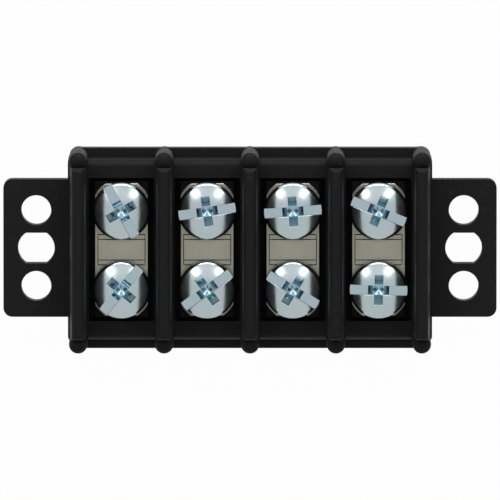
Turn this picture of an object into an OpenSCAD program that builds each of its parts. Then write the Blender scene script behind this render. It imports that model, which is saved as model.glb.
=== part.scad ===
// Barrier terminal strip: four poles, two rows of screws, one mounting flange at each end.
// X runs along the strip, Y across it and Z up. The origin is the middle of the base's underside.

/* [Poles] */
// Distance between the centres of neighbouring poles
pole_pitch = 14.2875; // [13:0.0125:18]
// Distance from the strip's long middle line to each row of screws
row_offset = 6.56; // [6.2:0.02:7.6]

/* [Base] */
// Width of the base across the strip
base_w = 33.52; // [33:0.02:40]
// Radius at the base's four corners, seen from above
base_corner_r = 2.2; // [0.5:0.1:3]
// Thickness of the base plate, its ledges and its flanges
plate_t = 3.5; // [2.8:0.1:5]
// Height of the shoulders that close the ends of each pole's well
shoulder_h = 6.8; // [6.4:0.1:9]
// Width of the ledge outside each shoulder
ledge_w = 1.55; // [0.8:0.05:2]
// Height of the rounding on each shoulder's outer edge
shoulder_round_h = 1.9; // [0.6:0.1:2.6]
// Width of the rounding on each shoulder's outer edge
shoulder_round_w = 1.35; // [0.6:0.05:1.6]
// Thickness of the floor under the grooves round each terminal
groove_floor = 2; // [1.2:0.1:2.6]
// Thickness of the floor under each screw's well
well_floor = 1; // [0.6:0.05:1.2]
// Width of the rim left beside a barrier's foot along each well
well_rim = 0.17; // [0.05:0.01:0.3]
// Width of the rim left outside the foot of each end barrier
end_rim = 0.3; // [0.1:0.05:1]

/* [Barriers] */
// Height of the barriers above the base's underside
barrier_h = 18.4; // [16:0.1:24]
// Thickness of a barrier along its top
barrier_top_t = 2.1; // [1.8:0.1:2.6]
// Thickness of a barrier from the shoulders' level down
barrier_root_t = 3; // [2.7:0.05:3.1]
// Radius along the top edges of the barriers
barrier_edge_r = 0.85; // [0.1:0.05:0.9]
// Radius at the upper corner of each barrier's end
barrier_corner_r = 0.8; // [0.2:0.1:2]
// Diameter of the round posts at the barriers' ends
post_d = 3.22; // [3.12:0.01:4]
// Diameter of a post where its dome starts
post_top_d = 3.06; // [2.7:0.01:3.1]
// How far a post stands out from the base's side
post_proud = 0.08; // [0.03:0.01:0.4]
// How far the posts' tops lie below the barriers' tops
post_drop = 3; // [0.6:0.1:6]
// Height of the dome on each post
dome_h = 1; // [0.4:0.1:1.4]
// Distance from a post's axis in to the end face of its barrier
barrier_setback = 0.975; // [0.3:0.025:1.2]

/* [Flanges] */
// Length of each flange beyond the base
flange_l = 10.82; // [9.5:0.02:16]
// Width of each flange across the strip
flange_w = 23.05; // [21:0.05:30]
// Radius at the corners of the flanges
flange_corner_r = 1.5; // [0.5:0.1:4]
// Distance from the base's end to the line of flange holes
hole_inset = 5.325; // [4.5:0.025:6.5]
// Distance between the two round holes of a flange
hole_spacing = 12.68; // [12:0.02:15]
// Diameter of the round mounting holes
hole_d = 5; // [3.5:0.05:5.5]
// Diameter of the middle hole across its round ends
key_hole_d = 6.15; // [5.4:0.05:6.4]
// Width of the middle hole across its two flats
key_hole_flats = 5.12; // [4.2:0.02:5.3]

/* [Terminals] */
// Width of a terminal bar
bar_w = 8.85; // [8:0.05:9.2]
// Thickness of a terminal bar
bar_t = 1.2; // [0.8:0.05:1.6]
// Distance from a screw's axis to the flat end of its bar
bar_end = 4.55; // [3.8:0.05:5]
// Radius about the screw's axis that trims the bar's corners
bar_corner_r = 5.27; // [5.1:0.01:5.8]
// Height of the raised wire stop in the middle of a bar
stop_h = 0.4; // [0.2:0.05:0.8]
// Height of the lower step on each side of the wire stop
stop_step_h = 0.2; // [0.1:0.05:0.4]
// Length of each lower step along the bar
stop_step_l = 0.75; // [0.3:0.05:1]
// Run of the slope at the foot of each step
stop_slope = 0.06; // [0.02:0.01:0.2]
// Margin between the wire stop and the bar's sides
stop_margin = 0.5; // [0.2:0.05:1]
// Wall of the tapped collar under each screw hole
collar_wall = 0.9; // [0.6:0.05:1.1]
// Height of the tapped collar below the bar
collar_h = 2.2; // [1.2:0.1:2.6]

/* [Screws] */
// Outer diameter of the screw thread
thread_d = 4.83; // [4.2:0.01:4.9]
// Length of a screw under its head
screw_l = 6.35; // [5.4:0.05:6.5]
// Diameter of a screw head
head_d = 9.6; // [8.6:0.05:9.8]
// Height of a screw head at its crown
head_h = 2.6; // [2.2:0.05:3.2]
// Radius of the shallow crown of a screw head
crown_r = 15; // [9:0.5:30]
// Radius that rolls the crown over into the head's rim
rim_r = 0.7; // [0.3:0.05:0.8]
// Bevel under the head's rim
rim_bevel = 0.25; // [0.1:0.05:0.5]
// Width of the screwdriver slot
slot_w = 1.6; // [1.1:0.05:2]
// Depth of the slot below the crown
slot_depth = 1.25; // [0.9:0.05:1.4]
// Span of the cross recess at the crown
cross_span = 5.35; // [4.4:0.05:6]
// Span of the cross recess at its bottom
cross_tip_span = 2; // [1:0.1:2.6]
// Width of each wing of the cross recess
cross_wing_w = 1.45; // [1:0.05:1.8]
// Depth of the cross recess
cross_depth = 2.3; // [1.6:0.1:3]
// Bevel at the tip of the thread
tip_bevel = 0.5; // [0.2:0.05:0.8]

/* [Washers] */
// Outer diameter of the captive washer under a head
washer_d = 7.9; // [7:0.05:8.5]
// Thickness of the captive washer
washer_t = 0.9; // [0.7:0.05:1.2]
// Diameter of the screw's neck inside the washer
neck_d = 4.05; // [3.6:0.01:4.1]

/* [Clearances] */
// Radial running gap between a thread and its tapped hole
thread_gap = 0.03; // [0.02:0.01:0.08]
// Radial running gap between a neck and its washer
washer_gap = 0.06; // [0.02:0.01:0.1]
// Radial gap between a collar and its seat in the housing
collar_gap = 0.1; // [0.05:0.01:0.2]
// Gap between the wire stop and a washer
stop_gap = 0.05; // [0.03:0.01:0.3]
// Radial gap round the screw's tip in its well
well_gap = 0.4; // [0.2:0.05:0.6]
// How far the pedestal stands out beyond the bar's end
bar_end_gap = 0.27; // [0.1:0.01:0.5]
// Width of the groove between a pedestal's end and the shoulder
end_groove = 0.58; // [0.4:0.02:0.9]
// Length of neck left free below the washer
neck_play = 0.15; // [0.05:0.05:0.3]

/* [Hidden] */
POLES = [1, 2, 3, 4];
// Rows: a lies on the +Y side and b on the -Y side
ROW_A = 1;
ROW_B = -1;
// The turn at which each slot came to rest when its screw was run in, pole by pole
SLOT_TURN_A = [119.1, 8.2, 4.1, -22.1];
SLOT_TURN_B = [50.4, 35.7, -31.3, -1.4];

HOUSING_COLOR = "#232325";
TERMINAL_COLOR = "#a6a297";
SCREW_COLOR = "#b4c0c4";
WASHER_COLOR = "#a8b4b8";

round_fn = 64;
post_fn = 48;
arc_steps = 6;
// How far a cutting tool runs past the face that it cuts
cut = 1;

// Housing
barrier_count = len(POLES) + 1;
body_l = len(POLES) * pole_pitch + barrier_root_t + 2 * end_rim;
post_y = base_w / 2 + post_proud - post_d / 2;
post_h = barrier_h - post_drop;
barrier_end_y = post_y - barrier_setback;
shoulder_out_y = base_w / 2 - ledge_w;
overall_l = body_l + 2 * flange_l;
hole_x = body_l / 2 + hole_inset;

// Terminals and their seats
bar_top = shoulder_h;
pedestal_top = bar_top - bar_t;
bar_half_l = row_offset + bar_end;
pedestal_half_l = bar_half_l + bar_end_gap;
well_half_l = pedestal_half_l + end_groove;
well_w = pole_pitch - barrier_root_t - 2 * well_rim;
stop_half_l = row_offset - washer_d / 2 - stop_gap;
tapped_d = thread_d + 2 * thread_gap;
collar_d = tapped_d + 2 * collar_wall;
collar_seat_d = collar_d + 2 * collar_gap;
screw_well_d = thread_d + 2 * well_gap;
collar_seat_bottom = pedestal_top - collar_h - collar_gap;

// Coring pocket under each terminal, between the seats of its two collars
core_wall = 1;
core_w = bar_w - 2 * core_wall;
core_l = 2 * (row_offset - collar_seat_d / 2 - core_wall);
core_top = pedestal_top - groove_floor;
core_corner_r = 0.8;

// Screws and washers
washer_hole_d = neck_d + 2 * washer_gap;
head_seat = bar_top + washer_t;
neck_l = washer_t + neck_play;

// X of a pole's centre, for poles numbered from 1
function pole_x(pole) = (pole - (len(POLES) + 1) / 2) * pole_pitch;

// X of a barrier's centre, for barriers numbered from 0
function barrier_x(i) = (i - len(POLES) / 2) * pole_pitch;

// Points of an arc about c, radius r, from angle a0 to angle a1
function arc(c, r, a0, a1, steps = arc_steps) = [
    for (i = [0 : steps])
        let (a = a0 + (a1 - a0) * i / steps)
            [c[0] + r * cos(a), c[1] + r * sin(a)]
];

// Points of a rectangle about the origin with its four corners rounded
function round_rect(w, l, r) = concat(
    arc([w / 2 - r, l / 2 - r], r, 0, 90),
    arc([-w / 2 + r, l / 2 - r], r, 90, 180),
    arc([-w / 2 + r, -l / 2 + r], r, 180, 270),
    arc([w / 2 - r, -l / 2 + r], r, 270, 360)
);

// Places its child at the middle of every pole
module at_poles() {
    for (pole = POLES)
        translate([pole_x(pole), 0, 0])
            children();
}

// Places its child on the axis of every screw
module at_screws() {
    for (pole = POLES, row = [ROW_A, ROW_B])
        translate([pole_x(pole), row * row_offset, 0])
            children();
}

// Lays a profile drawn in Y and Z along X, centred on the origin
module along_x(length) {
    rotate([90, 0, 90])
        linear_extrude(length, center = true)
            children();
}

// Lays a profile drawn in X and Z along Y, centred on the origin
module along_y(length) {
    rotate([90, 0, 0])
        linear_extrude(length, center = true)
            children();
}

// ---------------------------------------------------------------- housing

// Outline of the base without its flanges
module body_outline() {
    polygon(round_rect(body_l, base_w, base_corner_r));
}

// Base plate with a flange at each end, in one thickness
module base_plate() {
    linear_extrude(plate_t) {
        body_outline();
        polygon(round_rect(overall_l, flange_w, flange_corner_r));
    }
}

// Half of the section through the two shoulders: flat top, outer edge rolled over as a quarter ellipse
module shoulder_section() {
    polygon(concat(
        [[0, 0], [shoulder_out_y, 0]],
        [
            for (i = [0 : arc_steps + 2])
                let (a = 90 * i / (arc_steps + 2))
                    [
                        shoulder_out_y - shoulder_round_w * (1 - cos(a)),
                        shoulder_h - shoulder_round_h * (1 - sin(a))
                    ]
        ],
        [[0, shoulder_h]]
    ));
}

// Block that the wells are sunk into, from one end of the base to the other
module shoulder_block() {
    intersection() {
        along_x(body_l) {
            shoulder_section();
            mirror([1, 0])
                shoulder_section();
        }
        linear_extrude(shoulder_h)
            body_outline();
    }
}

// Section of a barrier: straight up to the shoulders, then drafted in to a rounded top
module barrier_section() {
    half_top = barrier_top_t / 2;
    half_root = barrier_root_t / 2;
    edge_z = barrier_h - barrier_edge_r;
    edge_x = half_top - barrier_edge_r;
    polygon(concat(
        [[-half_root, 0], [half_root, 0], [half_root, shoulder_h]],
        arc([edge_x, edge_z], barrier_edge_r, 0, 90),
        arc([-edge_x, edge_z], barrier_edge_r, 90, 180),
        [[-half_root, shoulder_h]]
    ));
}

// Side view of a barrier: upright ends with rounded upper corners
module barrier_side() {
    corner_y = barrier_end_y - barrier_corner_r;
    corner_z = barrier_h - barrier_corner_r;
    polygon(concat(
        [[-barrier_end_y, 0], [barrier_end_y, 0]],
        arc([corner_y, corner_z], barrier_corner_r, 0, 90),
        arc([-corner_y, corner_z], barrier_corner_r, 90, 180)
    ));
}

// Round post at a barrier's end, drafted and with a domed top
module post() {
    dome_z = post_h - dome_h;
    rotate_extrude($fn = post_fn)
        polygon(concat(
            [[0, 0], [post_d / 2, 0]],
            [
                for (i = [0 : arc_steps])
                    let (a = 90 * i / arc_steps)
                        [post_top_d / 2 * cos(a), dome_z + dome_h * sin(a)]
            ]
        ));
}

module barrier() {
    intersection() {
        along_y(base_w)
            barrier_section();
        along_x(barrier_root_t)
            barrier_side();
    }
    for (side = [ROW_A, ROW_B])
        translate([0, side * post_y, 0])
            post();
}

// Groove that leaves a pedestal standing under a terminal
module groove() {
    translate([-well_w / 2, -well_half_l, groove_floor])
        cube([well_w, 2 * well_half_l, shoulder_h]);
}

// Pedestal that carries a terminal bar
module pedestal() {
    translate([-bar_w / 2, -pedestal_half_l, 0])
        cube([bar_w, 2 * pedestal_half_l, pedestal_top]);
}

// Seat for a terminal's collar, with the screw's blind well below it
module screw_well() {
    translate([0, 0, collar_seat_bottom])
        cylinder(h = collar_h + collar_gap + cut, d = collar_seat_d, $fn = round_fn);
    translate([0, 0, well_floor])
        cylinder(h = pedestal_top, d = screw_well_d, $fn = round_fn);
}

// Pocket moulded into the underside to keep the wall under a terminal even
module core_pocket() {
    translate([0, 0, -cut])
        linear_extrude(core_top + cut)
            polygon(round_rect(core_w, core_l, core_corner_r));
}

// The three holes of one flange: two round ones and a middle one with two flats
module flange_holes() {
    for (side = [ROW_A, ROW_B])
        translate([0, side * hole_spacing / 2, -cut])
            cylinder(h = plate_t + 2 * cut, d = hole_d, $fn = round_fn);
    translate([0, 0, -cut])
        intersection() {
            cylinder(h = plate_t + 2 * cut, d = key_hole_d, $fn = round_fn);
            translate([-key_hole_d, -key_hole_flats / 2, 0])
                cube([2 * key_hole_d, key_hole_flats, plate_t + 2 * cut]);
        }
}

module housing() {
    color(HOUSING_COLOR)
        difference() {
            union() {
                difference() {
                    union() {
                        base_plate();
                        shoulder_block();
                    }
                    at_poles()
                        groove();
                }
                for (i = [0 : barrier_count - 1])
                    translate([barrier_x(i), 0, 0])
                        barrier();
                at_poles()
                    pedestal();
            }
            at_screws()
                screw_well();
            at_poles()
                core_pocket();
            for (end = [-1, 1])
                translate([end * hole_x, 0, 0])
                    flange_holes();
        }
}

// ---------------------------------------------------------------- terminals

// Half of the bar's outline: straight sides, corners trimmed on an arc about the screw, flat end
function bar_half_outline() =
    let (a0 = acos(bar_w / 2 / bar_corner_r))
    let (a1 = asin(min(1, bar_end / bar_corner_r)))
        concat(
            arc([0, row_offset], bar_corner_r, a0, a1),
            arc([0, row_offset], bar_corner_r, 180 - a1, 180 - a0)
        );

// Raised stop across the middle of the bar, with a lower step on the side of each screw
module wire_stop() {
    step_end = stop_half_l - stop_slope;
    foot = step_end - stop_step_l;
    flat_end = foot - stop_slope;
    translate([0, 0, bar_top])
        along_x(bar_w - 2 * stop_margin)
            polygon([
                [-stop_half_l, 0],
                [stop_half_l, 0],
                [step_end, stop_step_h],
                [foot, stop_step_h],
                [flat_end, stop_h],
                [-flat_end, stop_h],
                [-foot, stop_step_h],
                [-step_end, stop_step_h]
            ]);
}

module terminal(pole) {
    color(TERMINAL_COLOR)
        translate([pole_x(pole), 0, 0])
            difference() {
                union() {
                    translate([0, 0, pedestal_top])
                        linear_extrude(bar_t)
                            polygon(concat(
                                bar_half_outline(),
                                [for (p = bar_half_outline()) -p]
                            ));
                    wire_stop();
                    for (row = [ROW_A, ROW_B])
                        translate([0, row * row_offset, pedestal_top - collar_h])
                            cylinder(h = collar_h + bar_t / 2, d = collar_d, $fn = round_fn);
                }
                for (row = [ROW_A, ROW_B])
                    translate([0, row * row_offset, pedestal_top - collar_h - cut])
                        cylinder(h = collar_h + bar_t + 2 * cut, d = tapped_d, $fn = round_fn);
            }
}

// ---------------------------------------------------------------- washers and screws

module washer(pole, row) {
    color(WASHER_COLOR)
        translate([pole_x(pole), row * row_offset, bar_top])
            difference() {
                cylinder(h = washer_t, d = washer_d, $fn = round_fn);
                translate([0, 0, -cut])
                    cylinder(h = washer_t + 2 * cut, d = washer_hole_d, $fn = round_fn);
            }
}

// Section of the head and shank from the axis outward, with the head's seat at z = 0.
// The crown is an arc of crown_r, and the roll at the rim is an arc of rim_r tangent to it.
function screw_section() =
    let (rim_x = head_d / 2 - rim_r)
    let (crown_z = head_h - crown_r)
    let (rim_z = crown_z + sqrt(pow(crown_r - rim_r, 2) - rim_x * rim_x))
    let (meet = atan2(rim_z - crown_z, rim_x))
        concat(
            [
                [0, -screw_l],
                [thread_d / 2 - tip_bevel, -screw_l],
                [thread_d / 2, -screw_l + tip_bevel],
                [thread_d / 2, -neck_l],
                [neck_d / 2, -neck_l],
                [neck_d / 2, 0],
                [head_d / 2 - rim_bevel, 0],
                [head_d / 2, rim_bevel]
            ],
            arc([rim_x, rim_z], rim_r, 0, meet),
            arc([0, crown_z], crown_r, meet, 90)
        );

// Straight slot across the whole head
module slot() {
    translate([-head_d, -slot_w / 2, head_h - slot_depth])
        cube([2 * head_d, slot_w, slot_depth + cut]);
}

// One pair of opposite wings of the cross recess, narrowing towards the bottom
module cross_wings() {
    rise = cut / cross_depth * (cross_span - cross_tip_span) / 2;
    along_y(cross_wing_w)
        polygon([
            [-cross_tip_span / 2, head_h - cross_depth],
            [cross_tip_span / 2, head_h - cross_depth],
            [cross_span / 2 + rise, head_h + cut],
            [-cross_span / 2 - rise, head_h + cut]
        ]);
}

module screw(pole, row, turn) {
    color(SCREW_COLOR)
        translate([pole_x(pole), row * row_offset, head_seat])
            rotate([0, 0, turn])
                difference() {
                    rotate_extrude($fn = round_fn)
                        polygon(screw_section());
                    slot();
                    cross_wings();
                    rotate([0, 0, 90])
                        cross_wings();
                }
}

housing();
terminal(1);  // terminal_1
terminal(2);  // terminal_2
terminal(3);  // terminal_3
terminal(4);  // terminal_4
washer(1, ROW_A);  // washer_1a
washer(2, ROW_A);  // washer_2a
washer(3, ROW_A);  // washer_3a
washer(4, ROW_A);  // washer_4a
washer(1, ROW_B);  // washer_1b
washer(2, ROW_B);  // washer_2b
washer(3, ROW_B);  // washer_3b
washer(4, ROW_B);  // washer_4b
screw(1, ROW_A, SLOT_TURN_A[0]);  // screw_1a
screw(2, ROW_A, SLOT_TURN_A[1]);  // screw_2a
screw(3, ROW_A, SLOT_TURN_A[2]);  // screw_3a
screw(4, ROW_A, SLOT_TURN_A[3]);  // screw_4a
screw(1, ROW_B, SLOT_TURN_B[0]);  // screw_1b
screw(2, ROW_B, SLOT_TURN_B[1]);  // screw_2b
screw(3, ROW_B, SLOT_TURN_B[2]);  // screw_3b
screw(4, ROW_B, SLOT_TURN_B[3]);  // screw_4b
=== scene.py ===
import math

import bmesh
import bpy
import numpy as np
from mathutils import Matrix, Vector


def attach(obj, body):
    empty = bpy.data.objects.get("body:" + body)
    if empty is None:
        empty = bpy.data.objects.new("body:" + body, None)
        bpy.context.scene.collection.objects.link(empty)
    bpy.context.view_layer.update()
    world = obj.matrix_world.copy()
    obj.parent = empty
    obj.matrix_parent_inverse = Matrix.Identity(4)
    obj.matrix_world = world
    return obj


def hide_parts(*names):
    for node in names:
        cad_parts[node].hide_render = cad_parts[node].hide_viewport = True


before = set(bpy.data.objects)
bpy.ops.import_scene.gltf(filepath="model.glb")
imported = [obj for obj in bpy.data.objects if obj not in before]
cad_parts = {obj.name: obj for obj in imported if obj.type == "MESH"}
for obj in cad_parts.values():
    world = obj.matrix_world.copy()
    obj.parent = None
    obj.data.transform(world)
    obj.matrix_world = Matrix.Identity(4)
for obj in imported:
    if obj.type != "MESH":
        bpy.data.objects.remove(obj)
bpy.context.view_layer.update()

MM = 0.001

# Sizes of the real parts, in millimetres, in the frame of the CAD model
POLE_PITCH = 14.2875
ROW_OFFSET = 6.56
HOLE_X = 35.7
HOLE_Y = 6.34
BAR_TOP = 6.8
HEAD_SEAT = 7.7
HEAD_D = 9.6
HEAD_H = 2.6
CROWN_R = 15.0
RIM_R = 0.7
RIM_BEVEL = 0.25
SLOT_W = 1.6
SLOT_DEPTH = 1.25
CROSS_SPAN = 5.35
CROSS_TIP_SPAN = 2.0
CROSS_WING_W = 1.45
CROSS_DEPTH = 2.3
THREAD_D = 4.83
THREAD_PITCH = 0.79375
# depth of a 60 degree thread as a share of its pitch
THREAD_DEPTH = 0.61343
NECK_D = 4.05
NECK_L = 1.05
SHANK_L = 6.35
TIP_BEVEL = 0.5
WASHER_D = 7.9
WASHER_HOLE_D = 4.17
WASHER_T = 0.9
SLOT_TURNS = {
    "1a": 119.1, "2a": 8.2, "3a": 4.1, "4a": -22.1,
    "1b": 50.4, "2b": 35.7, "3b": -31.3, "4b": -1.4,
}  # fmt: skip


def linear(code):
    """Linear RGBA of an sRGB hex colour."""
    c = np.array([int(code[i : i + 2], 16) / 255 for i in (1, 3, 5)])
    c = np.where(c <= 0.04045, c / 12.92, ((c + 0.055) / 1.055) ** 2.4)
    return (*c.tolist(), 1.0)


def put(tree, kind, inputs=None, **settings):
    """Adds a node, with its settings, and its inputs as values or as other nodes' sockets."""
    node = tree.nodes.new("ShaderNode" + kind)
    for name, value in settings.items():
        setattr(node, name, value)
    for key, value in (inputs or {}).items():
        if isinstance(value, bpy.types.NodeSocket):
            tree.links.new(value, node.inputs[key])
        else:
            node.inputs[key].default_value = value
    return node


def new_material(name):
    """A material with its node tree emptied but for the output."""
    material = bpy.data.materials.new(name)
    material.use_nodes = True
    tree = material.node_tree
    tree.nodes.clear()
    return material, tree, put(tree, "OutputMaterial")


# ------------------------------------------------------------------ surfaces


def new_piece(name, points, faces, material):
    """A piece made of points in millimetres and of faces, shaded smooth."""
    mesh = bpy.data.meshes.new(name)
    mesh.from_pydata((np.asarray(points) * MM).tolist(), [], [tuple(f) for f in faces])
    mesh.polygons.foreach_set("use_smooth", np.ones(len(mesh.polygons), bool))
    mesh.materials.append(material)
    mesh.update()
    mesh.set_sharp_from_angle(angle=math.radians(35))
    piece = bpy.data.objects.new(name, mesh)
    bpy.context.scene.collection.objects.link(piece)
    return piece


def ring_quads(rows, columns, start=0):
    """Quads between successive closed rings of points, each ring running round anticlockwise."""
    i, j = np.meshgrid(np.arange(rows - 1), np.arange(columns), indexing="ij")
    a = start + i * columns + j
    b = start + i * columns + (j + 1) % columns
    return np.stack([a, a + columns, b + columns, b], -1).reshape(-1, 4)


def arc_points(cx, cz, r, a0, a1, steps):
    """Points of an arc in degrees, as radius and height."""
    a = np.radians(np.linspace(a0, a1, steps))
    return np.stack([cx + r * np.cos(a), cz + r * np.sin(a)], -1)


def rounded_step(d, r):
    """Height lost beside an edge: zero further than r from it, and a quarter circle down to r at it."""
    t = np.clip(1 - d / r, 0, 1)
    return r * (1 - np.sqrt(1 - t * t))


def recess_line(edges, step, reach):
    """Grid lines from 0 to reach, `step` apart, drawn together at each of the edges."""
    beside = np.array([0.008, 0.03, 0.06, 0.10])
    near = np.concatenate([e + side * beside for e in edges for side in (-1, 1)])
    even = np.arange(0, reach, step)
    far = even[np.min(np.abs(even[:, None] - near[None]), 1) > step * 0.45]
    return np.unique(np.round(np.concatenate([far, near, [reach]]), 5))


def head_top():
    """Top of a screw's head as a height over a disc.

    Across the slot, y runs from rim to rim on lines that stay straight. Along the slot, x runs on
    lines that stay straight over the cross recess and then spread out to meet the rim. The height is
    the lowest of three forms: the crown, an arc of CROWN_R that rolls over the rim on an arc of
    RIM_R; the slot, flat at SLOT_DEPTH between upright walls; and the cross, whose wings narrow in a
    straight slope to CROSS_DEPTH and end in a shallow cone."""
    rim = HEAD_D / 2
    rim_x = rim - RIM_R
    crown_z = HEAD_H - CROWN_R
    rim_z = crown_z + math.sqrt((CROWN_R - RIM_R) ** 2 - rim_x**2)
    inner, straight_to = 3.0, 2.8
    share = inner / math.sqrt(rim**2 - straight_to**2)
    wing_end = CROSS_SPAN / 2
    xs = recess_line([CROSS_WING_W / 2, wing_end], 0.16, inner)
    ys = recess_line([CROSS_WING_W / 2, SLOT_W / 2, wing_end], 0.16, inner)
    # from the straight lines out to the rim, closer together as the rim rolls over
    spread = np.sin(np.linspace(0, np.pi / 2, 15))[1:]
    ys_out = inner + (rim - inner) * np.sin(np.linspace(0, np.pi / 2, 17))[1:-1]
    y = np.concatenate([ys, ys_out])
    y = np.concatenate([-y[::-1], y[1:]])
    half_chord = np.sqrt(rim**2 - y**2)
    straight = np.where(np.abs(y) <= straight_to, inner, share * half_chord)
    x_in = straight[:, None] * (xs / inner)[None]
    x_out = straight[:, None] + (half_chord - straight)[:, None] * spread[None]
    x = np.concatenate([x_in, x_out], 1)
    x = np.concatenate([-x[:, :0:-1], x], 1)
    y = np.repeat(y[:, None], x.shape[1], 1)
    r = np.minimum(np.hypot(x, y), rim)
    crown = crown_z + np.sqrt(CROWN_R**2 - r**2)
    roll = rim_z + np.sqrt(np.maximum(RIM_R**2 - np.maximum(r - rim_x, 0) ** 2, 0))
    meet = rim_x + RIM_R * rim_x / (CROWN_R - RIM_R)
    z = np.where(r > meet, roll, crown)
    slot_floor = HEAD_H - SLOT_DEPTH
    edge_round = 0.05
    z = z - rounded_step(np.abs(np.abs(y) - SLOT_W / 2), edge_round) * (z > slot_floor)
    z = np.where(np.abs(y) < SLOT_W / 2, np.minimum(z, slot_floor), z)
    depth = np.zeros_like(z)
    slope = (wing_end - CROSS_TIP_SPAN / 2) / CROSS_DEPTH
    for along, across in ((x, y), (y, x)):
        wing = CROSS_DEPTH - np.maximum(np.abs(along) - CROSS_TIP_SPAN / 2, 0) / slope
        wing = np.where(np.abs(across) < CROSS_WING_W / 2, wing, 0)
        depth = np.maximum(depth, wing)
    cone_h = 0.35
    cone = cone_h * np.clip(1 - np.hypot(x, y), 0, 1)
    depth = np.where(depth > CROSS_DEPTH - 0.01, CROSS_DEPTH - cone_h + cone, depth)
    z = np.where(depth > 0, np.minimum(z, HEAD_H - depth), z)
    return x, y, z, rim_z


def screw_points():
    """A whole screw about the origin, its seat at z = 0 and its slot along X.

    The head's top is a grid over a disc. Its boundary goes on downwards as rings: rim, seat, neck,
    then the thread, where the radius at height z and angle a falls by the depth of the thread as the
    fraction of z / pitch - a / 360 runs from crest to root and back, and last the pointed-off tip."""
    x, y, z, rim_z = head_top()
    rows, columns = x.shape
    points = np.stack([x, y, z], -1).reshape(-1, 3)
    i, j = np.meshgrid(np.arange(rows - 1), np.arange(columns - 1), indexing="ij")
    a = i * columns + j
    faces = [np.stack([a, a + 1, a + columns + 1, a + columns], -1).reshape(-1, 4)]
    right = np.arange(rows) * columns + columns - 1
    left = np.arange(rows)[::-1] * columns
    border = np.concatenate([right, left])
    angles = np.arctan2(points[border, 1], points[border, 0])
    n = len(border)
    neck_r, crest_r = NECK_D / 2, THREAD_D / 2
    root_r = crest_r - THREAD_DEPTH * THREAD_PITCH
    profile = np.concatenate([
        [[HEAD_D / 2, rim_z]],
        np.stack([np.full(4, HEAD_D / 2), np.linspace(rim_z - 0.05, RIM_BEVEL, 4)], -1),
        arc_points(HEAD_D / 2 - RIM_BEVEL, RIM_BEVEL, RIM_BEVEL, 0, -90, 6)[1:],
        [[neck_r + 0.2, 0]],
        arc_points(neck_r + 0.15, -0.15, 0.15, 90, 180, 4),
        [[neck_r, -NECK_L + 0.05]],
    ])  # fmt: skip
    lower = np.arange(-NECK_L, -SHANK_L - 1e-9, -THREAD_PITCH / 10)
    radius = np.concatenate([profile[:, 0], np.full(len(lower), crest_r)])
    height = np.concatenate([profile[:, 1], lower])
    r = np.repeat(radius[:, None], n, 1)
    h = np.repeat(height[:, None], n, 1)
    phase = (h / THREAD_PITCH - angles[None] / (2 * np.pi)) % 1.0
    fall = np.clip(1.15 * (1 - np.abs(2 * phase - 1)) - 0.08, 0, 1)
    threaded = crest_r - (crest_r - root_r) * fall
    run_in = np.clip((-NECK_L - h) / 0.4, 0, 1)
    tip = np.clip((h + SHANK_L) / TIP_BEVEL, 0, 1)
    worked = neck_r + (threaded - neck_r) * run_in
    worked = np.minimum(worked, crest_r - TIP_BEVEL * (1 - tip))
    r = np.where(h <= -NECK_L, worked, r)
    rings = np.stack([r * np.cos(angles), r * np.sin(angles), h], -1)
    # the last ring closes on a point in the middle of the tip
    start = len(points)
    points = np.concatenate([points, rings[1:].reshape(-1, 3), [[0, 0, -SHANK_L]]])
    here = np.arange(n)
    beyond = (here + 1) % n
    faces.append(np.stack([border, start + here, start + beyond, border[beyond]], -1))
    faces.append(ring_quads(len(rings) - 1, n, start))
    last = start + (len(rings) - 2) * n
    cap = np.stack([last + here, np.full(n, len(points) - 1), last + beyond], -1)
    # how deep the darker recess colour goes, partly the finish pooling and partly painted shade: a little on
    # the slot's floor and fully at the recess's bottom
    deep = np.clip((HEAD_H - 0.85 - points[:, 2]) / 1.1, 0, 1)
    in_slot = np.abs(points[:, 1]) < SLOT_W / 2
    inside = (np.arange(len(points)) < start) & (in_slot | (np.hypot(points[:, 0], points[:, 1]) < 3.2))
    return points, np.concatenate(faces).tolist() + cap.tolist(), np.where(inside, deep, 0)


def washer_points():
    """A washer about the origin, its underside at z = 0: a rectangle with rounded corners, revolved."""
    outer, hole, t, r = WASHER_D / 2, WASHER_HOLE_D / 2, WASHER_T, 0.14
    profile = np.concatenate([
        arc_points(outer - r, r, r, -90, 0, 5),
        arc_points(outer - r, t - r, r, 0, 90, 5),
        arc_points(hole + r, t - r, r, 90, 180, 5),
        arc_points(hole + r, r, r, 180, 270, 5),
    ])  # fmt: skip
    round_steps = 96
    a = np.linspace(0, 2 * np.pi, round_steps, endpoint=False)
    r, z = profile[:, :1], profile[:, 1:]
    rings = np.stack([r * np.cos(a), r * np.sin(a), np.repeat(z, round_steps, 1)], -1)
    count = len(profile)
    i, j = np.meshgrid(np.arange(count), np.arange(round_steps), indexing="ij")
    i_next, j_next = (i + 1) % count, (j + 1) % round_steps
    here = i * round_steps + j
    side = i * round_steps + j_next
    up = i_next * round_steps + j
    up_side = i_next * round_steps + j_next
    faces = np.stack([here, side, up_side, up], -1).reshape(-1, 4)
    return rings.reshape(-1, 3), faces.tolist()


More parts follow.
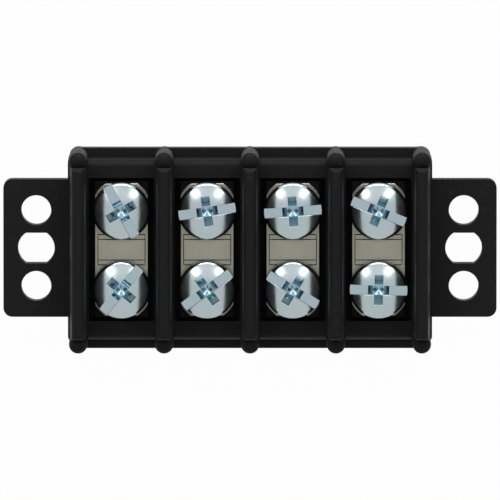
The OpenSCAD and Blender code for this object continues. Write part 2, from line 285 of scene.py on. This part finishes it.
def merged_copy(name, node, material, cuts):
    """A copy of a CAD node with its triangles joined up into flat faces, ready for its edges to be rounded.

    Each cut is an axis and a place in millimetres. It first splits the triangles along a plane through
    the holes, so that no joined face has a hole in it."""
    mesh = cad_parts[node].data.copy()
    mesh.name = name
    work = bmesh.new()
    work.from_mesh(mesh)
    bmesh.ops.remove_doubles(work, verts=work.verts, dist=2e-6)
    for axis, place in cuts:
        normal = [float(axis == i) for i in range(3)]
        split = bmesh.ops.bisect_plane(
            work,
            geom=work.verts[:] + work.edges[:] + work.faces[:],
            dist=1e-6,
            plane_co=[n * place * MM for n in normal],
            plane_no=normal,
        )
        for part in split["geom_cut"]:
            if isinstance(part, bmesh.types.BMEdge):
                part.seam = True
    bmesh.ops.dissolve_limit(
        work, angle_limit=math.radians(0.6), verts=work.verts, edges=work.edges, delimit={"SEAM"}
    )
    work.to_mesh(mesh)
    work.free()
    for attribute in ("custom_normal", "sharp_edge"):
        if attribute in mesh.attributes:
            mesh.attributes.remove(mesh.attributes[attribute])
    mesh.polygons.foreach_set("use_smooth", np.ones(len(mesh.polygons), bool))
    mesh.materials.clear()
    mesh.materials.append(material)
    piece = bpy.data.objects.new(name, mesh)
    bpy.context.scene.collection.objects.link(piece)
    return piece


# ------------------------------------------------------------------ finishes


def moulded_polyester():
    """Black glass-filled polyester, injection moulded: a satin skin with a faint even grain from the tool, and
    paler flecks where it has been rubbed in handling."""
    material, tree, output = new_material("moulded_polyester")
    place = put(tree, "TexCoord").outputs["Object"]
    cloud = put(tree, "TexNoise", {"Vector": place, "Scale": 1 / (6 * MM), "Detail": 3.0})
    grain = put(tree, "TexNoise", {"Vector": place, "Scale": 1 / (0.22 * MM), "Detail": 2.0})
    rough = put(tree, "MapRange", {
        "Value": cloud.outputs["Fac"], "From Min": 0.3, "From Max": 0.7, "To Min": 0.50, "To Max": 0.58,
    })  # fmt: skip
    bump = put(tree, "Bump", {"Height": grain.outputs["Fac"], "Strength": 0.25, "Distance": 0.02 * MM})
    scuffs = put(tree, "TexNoise", {"Vector": place, "Scale": 1 / (1.1 * MM), "Detail": 4.0, "Roughness": 0.7})
    scuffed = put(tree, "MapRange", {"Value": scuffs.outputs["Fac"], "From Min": 0.60, "From Max": 0.72})
    colour = put(tree, "Mix", {
        0: scuffed.outputs["Result"], 6: linear("#1a1a1b"), 7: linear("#2b2b2d"),
    }, data_type="RGBA")  # fmt: skip
    skin = put(tree, "BsdfPrincipled", {
        "Base Color": colour.outputs[2], "IOR": 1.2,
        "Roughness": rough.outputs["Result"], "Normal": bump.outputs["Normal"],
    })  # fmt: skip
    tree.links.new(skin.outputs["BSDF"], output.inputs["Surface"])
    return material


def nickel_plate():
    """Dull nickel plate on stamped brass strip: a warm grey metal with faint streaks along the strip."""
    material, tree, output = new_material("nickel_plate_on_brass")
    place = put(tree, "TexCoord").outputs["Object"]
    along = put(tree, "Mapping", {"Vector": place, "Scale": (1.0, 0.12, 1.0)}).outputs["Vector"]
    streak = put(tree, "TexNoise", {"Vector": along, "Scale": 1 / (0.25 * MM), "Detail": 3.0})
    cloud = put(tree, "TexNoise", {"Vector": place, "Scale": 1 / (3 * MM), "Detail": 3.0})
    rough = put(tree, "MapRange", {
        "Value": streak.outputs["Fac"], "From Min": 0.3, "From Max": 0.7, "To Min": 0.30, "To Max": 0.40,
    })  # fmt: skip
    colour = put(tree, "Mix", {
        0: cloud.outputs["Fac"], 6: linear("#8b897c"), 7: linear("#97958a"),
    }, data_type="RGBA")  # fmt: skip
    bump = put(tree, "Bump", {"Height": streak.outputs["Fac"], "Strength": 0.10, "Distance": 0.02 * MM})
    metal = put(tree, "BsdfPrincipled", {
        "Base Color": colour.outputs[2], "Metallic": 1.0,
        "Roughness": rough.outputs["Result"], "Normal": bump.outputs["Normal"],
    })  # fmt: skip
    tree.links.new(metal.outputs["BSDF"], output.inputs["Surface"])
    return material


def blue_zinc(name, grain_mm, recess_tint_and_shade):
    """Zinc plate with a clear blue passivate on cold-formed steel: bright, bluish white, cloudy where the film
    thickens, and a darker teal towards the recess's bottom, partly the passivate pooling there and partly
    painted shade."""
    material, tree, output = new_material(name)
    place = put(tree, "TexCoord").outputs["Object"]
    cloud = put(tree, "TexNoise", {"Vector": place, "Scale": 1 / (2.2 * MM), "Detail": 3.0})
    grain = put(tree, "TexNoise", {"Vector": place, "Scale": 1 / (grain_mm * MM), "Detail": 3.0})
    drift = put(tree, "TexNoise", {"Vector": place, "Scale": 1 / (3.6 * MM), "Detail": 1.0})
    tints = put(tree, "ValToRGB", {"Fac": drift.outputs["Fac"]})
    stops = tints.color_ramp.elements
    stops[0].position, stops[0].color = 0.36, linear("#a2b3b2")
    stops[1].position, stops[1].color = 0.64, linear("#aeb1bb")
    stops.new(0.5).color = linear("#a8b6bb")
    film = put(tree, "Mix", {
        0: cloud.outputs["Fac"], 6: tints.outputs["Color"], 7: linear("#abb7b8"),
    }, data_type="RGBA")  # fmt: skip
    colour = film.outputs[2]
    # painted shade: the colour turns a darker teal towards the recess's bottom, partly for the passivate
    # pooling there
    if recess_tint_and_shade:
        pooling_and_shade = put(tree, "Attribute", attribute_name="recess_pooling_and_shade").outputs["Fac"]
        colour = put(tree, "Mix", {0: pooling_and_shade, 6: colour, 7: linear("#8aa7b5")}, data_type="RGBA").outputs[2]
    rough = put(tree, "MapRange", {
        "Value": cloud.outputs["Fac"], "From Min": 0.3, "From Max": 0.7, "To Min": 0.13, "To Max": 0.19,
    })  # fmt: skip
    bump = put(tree, "Bump", {"Height": grain.outputs["Fac"], "Strength": 0.15, "Distance": 0.02 * MM})
    metal = put(tree, "BsdfPrincipled", {
        "Base Color": colour, "Metallic": 1.0,
        "Roughness": rough.outputs["Result"], "Normal": bump.outputs["Normal"],
    })  # fmt: skip
    tree.links.new(metal.outputs["BSDF"], output.inputs["Surface"])
    return material


# ------------------------------------------------------------------ pieces

PLASTIC = moulded_polyester()
NICKEL = nickel_plate()
# the screws' finish carries the painted shade in the recess, beside the passivate pooling
ZINC = blue_zinc("blue_zinc_on_screws", 0.35, True)
ZINC_WASHER = blue_zinc("blue_zinc_on_washers", 0.5, False)


def round_edges(piece, width_mm, segments, by_weight=False):
    """Rounds a piece's sharp or weighted edges, keeping its flat faces flat."""
    bevel = piece.modifiers.new("edge_round", "BEVEL")
    bevel.width = width_mm * MM
    bevel.segments = segments
    bevel.limit_method = "WEIGHT" if by_weight else "ANGLE"
    bevel.angle_limit = math.radians(30)
    bevel.harden_normals = True
    bevel.use_clamp_overlap = True
    bevel.miter_outer = "MITER_ARC"


def weigh_bar_edges(mesh):
    """Gives a bar's sharp edges their share of the full rounding: all of it where the press rolled the
    upper edges of the two ends, and a quarter elsewhere."""
    work = bmesh.new()
    work.from_mesh(mesh)
    weight = work.edges.layers.float.new("bevel_weight_edge")
    for edge in work.edges:
        if edge.calc_face_angle(0) > math.radians(50):
            low, high = sorted(vert.co.z / MM for vert in edge.verts)
            y = abs(edge.verts[0].co.y + edge.verts[1].co.y) / (2 * MM)
            rolled = low > BAR_TOP - 0.01 and high - low < 0.01 and y > ROW_OFFSET + 2.5
            edge[weight] = 1.0 if rolled else 0.25
    work.to_mesh(mesh)
    work.free()


# planes through the middles of the poles, the rows of screws and the flange holes
POLE_LINES = [(0, (pole - 2.5) * POLE_PITCH) for pole in range(1, 5)]
ROW_LINES = [(1, y) for y in (-ROW_OFFSET, 0, ROW_OFFSET)]
FLANGE_LINES = [(0, -HOLE_X), (0, HOLE_X), (1, -HOLE_Y), (1, HOLE_Y)]
housing = merged_copy("housing_moulding", "housing", PLASTIC, POLE_LINES + ROW_LINES + FLANGE_LINES)
round_edges(housing, 0.14, 2)
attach(housing, "base")
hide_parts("housing")

for pole in range(1, 5):
    bar = merged_copy(f"terminal_bar_{pole}", f"terminal_{pole}", NICKEL, [POLE_LINES[pole - 1]] + ROW_LINES)
    weigh_bar_edges(bar.data)
    round_edges(bar, 0.28, 4, by_weight=True)
    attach(bar, "base")
    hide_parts(f"terminal_{pole}")

screw_local, screw_faces, recess_pooling_and_shade = screw_points()
washer_local, washer_faces = washer_points()
for place, turn in SLOT_TURNS.items():
    pole, row = int(place[0]), 1 if place[1] == "a" else -1
    axis = np.array([(pole - 2.5) * POLE_PITCH, row * ROW_OFFSET, 0.0])
    t = math.radians(turn)
    spin = np.array([[math.cos(t), math.sin(t), 0], [-math.sin(t), math.cos(t), 0], [0, 0, 1]])
    screw_place = screw_local @ spin + axis + [0, 0, HEAD_SEAT]
    screw = new_piece(f"binding_screw_{place}", screw_place, screw_faces, ZINC)
    # the mask of the darker recess colour, partly passivate pooling and partly painted shade
    pooling_and_shade = screw.data.attributes.new("recess_pooling_and_shade", "FLOAT", "POINT")
    pooling_and_shade.data.foreach_set("value", recess_pooling_and_shade.astype(np.float32))
    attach(screw, f"screw_{place}")
    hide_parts(f"screw_{place}")
    washer_place = washer_local + axis + [0, 0, BAR_TOP]
    washer = new_piece(f"captive_washer_{place}", washer_place, washer_faces, ZINC_WASHER)
    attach(washer, f"washer_{place}")
    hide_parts(f"washer_{place}")

# ------------------------------------------------------------------ studio

scene = bpy.context.scene
scene.view_settings.view_transform = "Standard"

world = bpy.data.worlds.new("studio")
scene.world = world
world.use_nodes = True
sky = world.node_tree
sky.nodes.clear()


def seen_directly(tree):
    """1 for camera, glossy and transmission rays, and 0 for the light that falls on things."""
    path = put(tree, "LightPath").outputs
    seen = path["Is Camera Ray"]
    for ray in ("Is Glossy Ray", "Is Transmission Ray"):
        seen = put(tree, "Math", {0: seen, 1: path[ray]}, operation="MAXIMUM").outputs[0]
    return seen


falling = put(sky, "Background", {"Color": (1, 1, 1, 1), "Strength": 0.2})
shown = put(sky, "Background", {"Color": (1, 1, 1, 1), "Strength": 1.0})
both = put(sky, "MixShader", {0: seen_directly(sky), 1: falling.outputs[0], 2: shown.outputs[0]})
sky.links.new(both.outputs[0], put(sky, "OutputWorld").inputs["Surface"])

paper, tree, output = new_material("white_paper")
matt = put(tree, "BsdfDiffuse", {"Color": linear("#f2f2f2")})
glow = put(tree, "Emission", {"Color": (1, 1, 1, 1), "Strength": 1.0})
share = put(tree, "Math", {0: seen_directly(tree), 1: 0.98}, operation="MULTIPLY")
mixed = put(tree, "MixShader", {0: share.outputs[0], 1: matt.outputs[0], 2: glow.outputs[0]})
tree.links.new(mixed.outputs[0], output.inputs["Surface"])
REACH = 3.0
floor_mesh = bpy.data.meshes.new("floor")
corners = [(x * REACH, y * REACH, 0) for x, y in ((-1, -1), (1, -1), (1, 1), (-1, 1))]
floor_mesh.from_pydata(corners, [], [(0, 1, 2, 3)])
floor_mesh.materials.append(paper)
floor = bpy.data.objects.new("floor", floor_mesh)
scene.collection.objects.link(floor)
# a hair below the base, so that the two faces don't coincide
floor.location.z = -0.2 * MM


def softbox(name, place, width, height, radiance):
    """A soft lamp at a place in metres, turned to the part, as bright all over as `radiance`."""
    data = bpy.data.lights.new(name, "AREA")
    data.shape = "RECTANGLE"
    data.size = width
    data.size_y = height
    data.energy = radiance * math.pi * width * height
    lamp = bpy.data.objects.new(name, data)
    lamp.location = place
    lamp.rotation_euler = Vector(place).to_track_quat("Z", "Y").to_euler()
    scene.collection.objects.link(lamp)
    return lamp


softbox("lamp_left", (-0.31, 0.39, 0.90), 0.14, 0.32, 4.0)
softbox("lamp_right", (0.29, 0.39, 0.90), 0.125, 0.32, 4.0)
softbox("lamp_top", (0.0, 0.42, 0.98), 0.9, 0.5, 0.2)
softbox("lamp_back", (0.0, 1.1, 0.55), 0.9, 0.4, 8.0)

camera_data = bpy.data.cameras.new("camera")
camera = bpy.data.objects.new("camera", camera_data)
scene.collection.objects.link(camera)
scene.camera = camera
LEAN = math.radians(4.4)
DISTANCE = 2.1
VIEW_WIDTH = 0.08365
AIM_Y = -0.00059
camera_data.sensor_width = 36.0
camera_data.lens = camera_data.sensor_width * DISTANCE / VIEW_WIDTH
camera_data.clip_start = 0.1
camera_data.clip_end = 10.0
camera.location = (0.0, AIM_Y + DISTANCE * math.sin(LEAN), DISTANCE * math.cos(LEAN))
camera.rotation_euler = (-LEAN, 0.0, 0.0)
